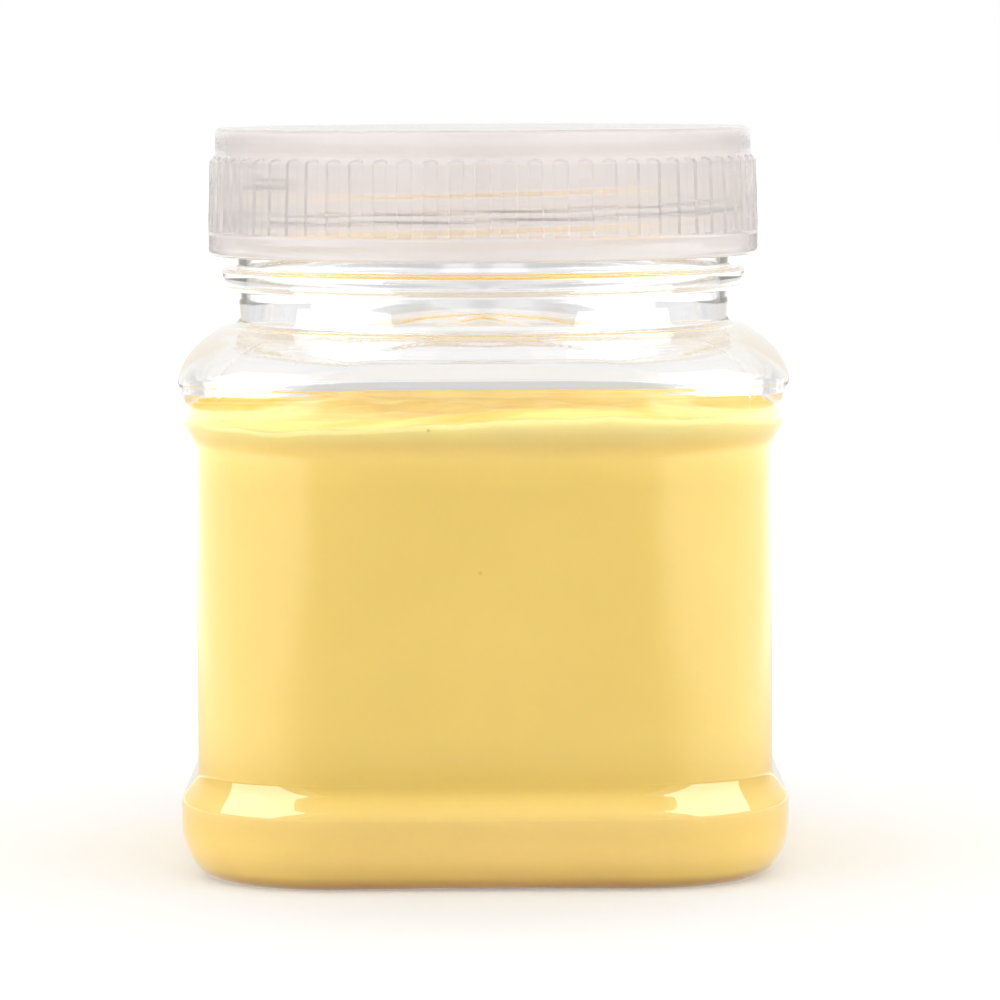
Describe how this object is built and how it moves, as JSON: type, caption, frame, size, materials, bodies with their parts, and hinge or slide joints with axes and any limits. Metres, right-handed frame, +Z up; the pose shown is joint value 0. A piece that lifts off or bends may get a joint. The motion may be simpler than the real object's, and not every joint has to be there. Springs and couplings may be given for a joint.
{
  "type": "jar of creamed honey spread",
  "caption": "Clear square-sided plastic jar with a round neck, frosted fluted screw lid and an opaque pale yellow creamy spread up to the shoulder.",
  "frame": {"origin": "middle of the base, on the surface that the jar stands on", "axes": "+Z up along the neck's axis, -Y towards the front panel, +X to the right of the front"},
  "size_m": [0.091, 0.091, 0.1108],
  "materials": {
    "clear_plastic": "clear and glossy",
    "frosted_plastic": "frosted and translucent",
    "spread": "opaque, smooth and creamy"
  },
  "bodies": {
    "root": {"jar": "clear_plastic", "lid": "frosted_plastic", "filling": "spread"}
  },
  "joints": []
}
